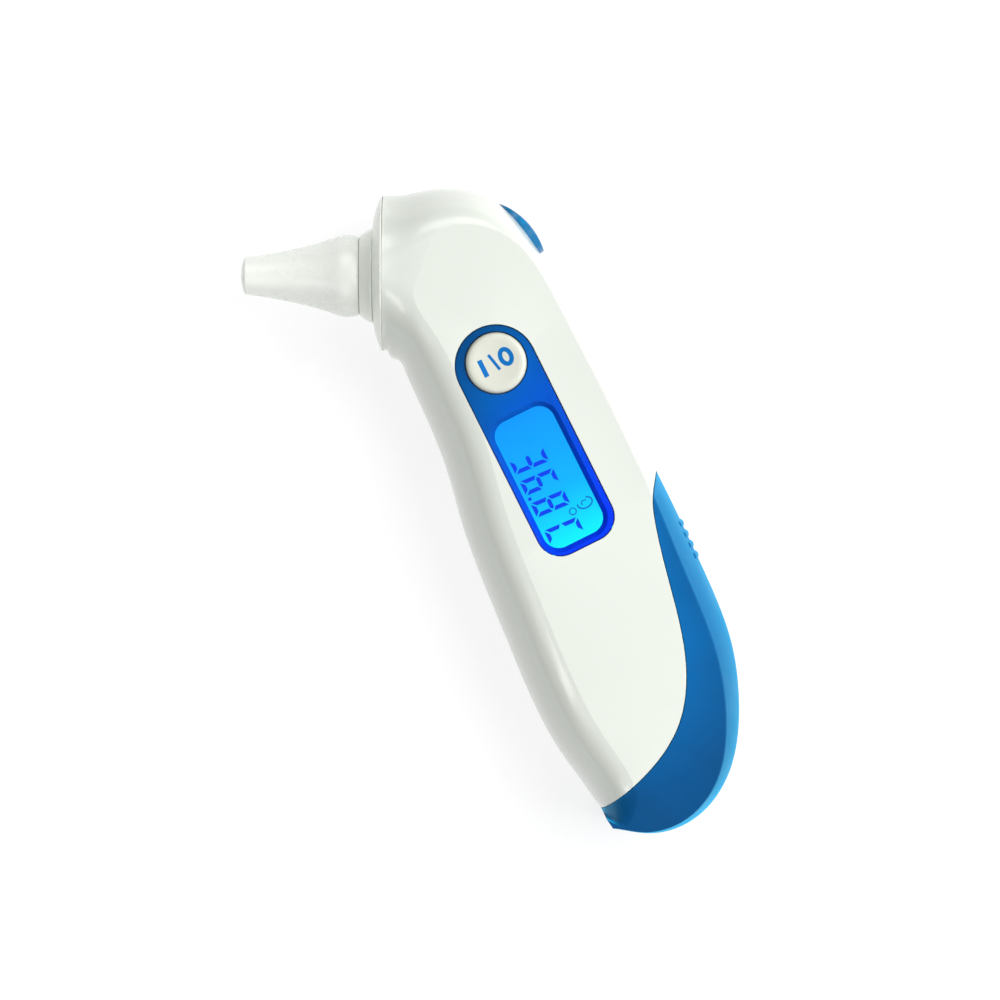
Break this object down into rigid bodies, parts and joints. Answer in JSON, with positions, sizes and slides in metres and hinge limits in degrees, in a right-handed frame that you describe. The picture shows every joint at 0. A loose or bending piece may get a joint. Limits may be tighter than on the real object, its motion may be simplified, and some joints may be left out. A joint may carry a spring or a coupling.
{
  "type": "ear thermometer",
  "caption": "Digital ear thermometer with a leaning handle, ear probe under a pull-off cover, press buttons, lit display and a sliding battery cover.",
  "frame": {"origin": "on the flat rear side that it lies on, under the point where the probe axis crosses the head", "axes": "+Z out of the display side, -X along the probe towards its tip, +Y up the head, the handle leaning away below it"},
  "size_m": [0.1106, 0.1428, 0.0364],
  "materials": {
    "shell_white": "gloss",
    "cap_white": "gloss",
    "button_white": "satin",
    "cover_blue": "satin",
    "scan_blue": "gloss",
    "panel_blue": "gloss",
    "probe_film": "translucent",
    "barrel_white": "satin",
    "clear_lens": "polished",
    "lcd_glass": "polished",
    "light_guide": "gloss",
    "foam_black": "matte",
    "strip_rubber": "matte",
    "board_green": "satin",
    "chip_black": "matte",
    "socket_cream": "matte",
    "switch_steel": "satin",
    "plunger_grey": "matte",
    "sensor_steel": "satin",
    "sleeve_metal": "satin",
    "guide_gold": "polished",
    "window_glass": "polished",
    "lead_black": "matte",
    "lead_red": "matte",
    "tray_white": "matte",
    "cell_jacket": "satin",
    "contact_steel": "bright",
    "buzzer_brass": "satin",
    "screw_steel": "satin"
  },
  "bodies": {
    "body": {"front_case": "shell_white", "rear_case": "shell_white", "nose_cap": "cap_white", "probe_collar": "cap_white", "probe_barrel": "barrel_white", "sensor_window": "window_glass", "waveguide_tube": "guide_gold", "sensor_sleeve": "sleeve_metal", "infrared_sensor": "sensor_steel", "sensor_lead": "lead_black", "display_frame": "panel_blue", "display_lens": "clear_lens", "display_gasket": "foam_black", "lcd_panel": "lcd_glass", "backlight_guide": "light_guide", "lcd_connector_strips": "strip_rubber", "main_board": "board_green", "processor_chip": "chip_black", "board_parts": "chip_black", "lead_sockets": "socket_cream", "power_switch": "switch_steel", "scan_switch": "switch_steel", "scan_board": "board_green", "scan_lead": "lead_black", "battery_tray": "tray_white", "battery_cell_1": "cell_jacket", "battery_cell_2": "cell_jacket", "cell_contacts": "contact_steel", "cell_bridge": "contact_steel", "cell_springs": "contact_steel", "battery_leads": "lead_red", "buzzer": "buzzer_brass", "case_screws": "screw_steel", "board_screws": "screw_steel"},
    "power_button_group": {"power_button": "button_white", "power_plunger": "plunger_grey"},
    "scan_button_group": {"scan_button": "scan_blue", "scan_plunger": "plunger_grey"},
    "battery_cover_group": {"battery_cover": "cover_blue"},
    "probe_cover_group": {"probe_cover": "probe_film"}
  },
  "joints": [
    {"name": "power_button_press", "type": "slide", "parent": "body", "child": "power_button_group", "axis": [0, 0, -1], "range_m": [0, 0.0006], "stiffness_N_per_m": 600},
    {"name": "scan_button_press", "type": "slide", "parent": "body", "child": "scan_button_group", "axis": [-0.787, -0.617, 0], "range_m": [0, 0.0008], "stiffness_N_per_m": 600},
    {"name": "battery_cover_slide", "type": "slide", "parent": "body", "child": "battery_cover_group", "axis": [0.4462, -0.8949, 0], "range_m": [0, 0.06]},
    {"name": "probe_cover_pull", "type": "slide", "parent": "body", "child": "probe_cover_group", "axis": [-1, 0, 0], "range_m": [0, 0.034]}
  ]
}
